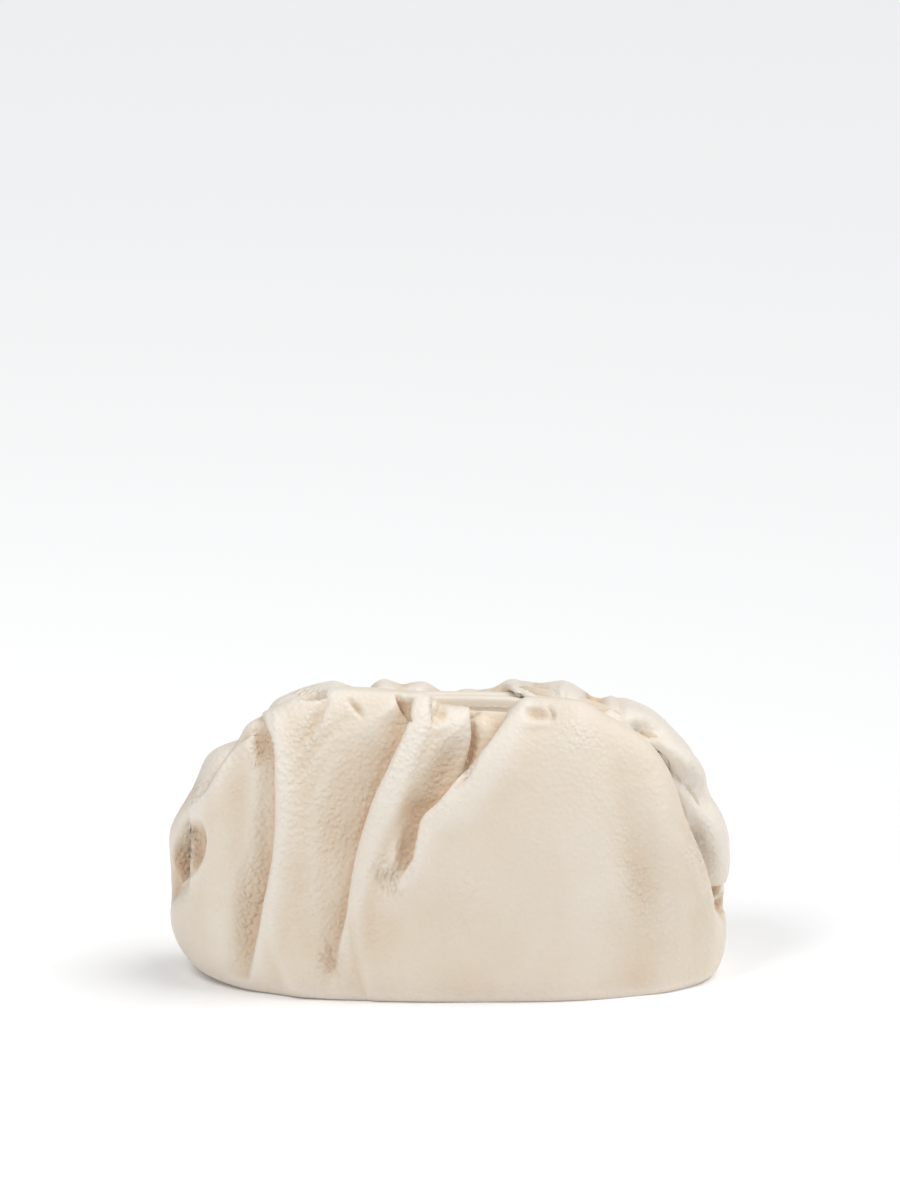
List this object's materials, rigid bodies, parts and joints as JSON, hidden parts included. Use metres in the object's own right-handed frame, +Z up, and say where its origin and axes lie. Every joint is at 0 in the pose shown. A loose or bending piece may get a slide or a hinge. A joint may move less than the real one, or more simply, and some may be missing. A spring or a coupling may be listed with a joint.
{
  "type": "clutch bag",
  "caption": "Gathered soft leather clutch bag with a hollow body and a hinged arch frame closing its mouth.",
  "frame": {"origin": "middle of the flat base, on the surface that the bag stands on", "axes": "+X to the right as seen from the front, -Y towards the front, +Z up"},
  "size_m": [0.2192, 0.0952, 0.1149],
  "materials": {
    "body_leather": "soft pebbled cream leather, satin",
    "front_lip_leather": "stretched cream leather, satin",
    "back_lip_leather": "stretched cream leather, satin",
    "left_pin_metal": "plain pale metal",
    "right_pin_metal": "plain pale metal"
  },
  "bodies": {
    "root": {"pouch_body": "body_leather", "frame_front": "front_lip_leather", "frame_back": "back_lip_leather", "hinge_left": "left_pin_metal", "hinge_right": "right_pin_metal"}
  },
  "joints": []
}
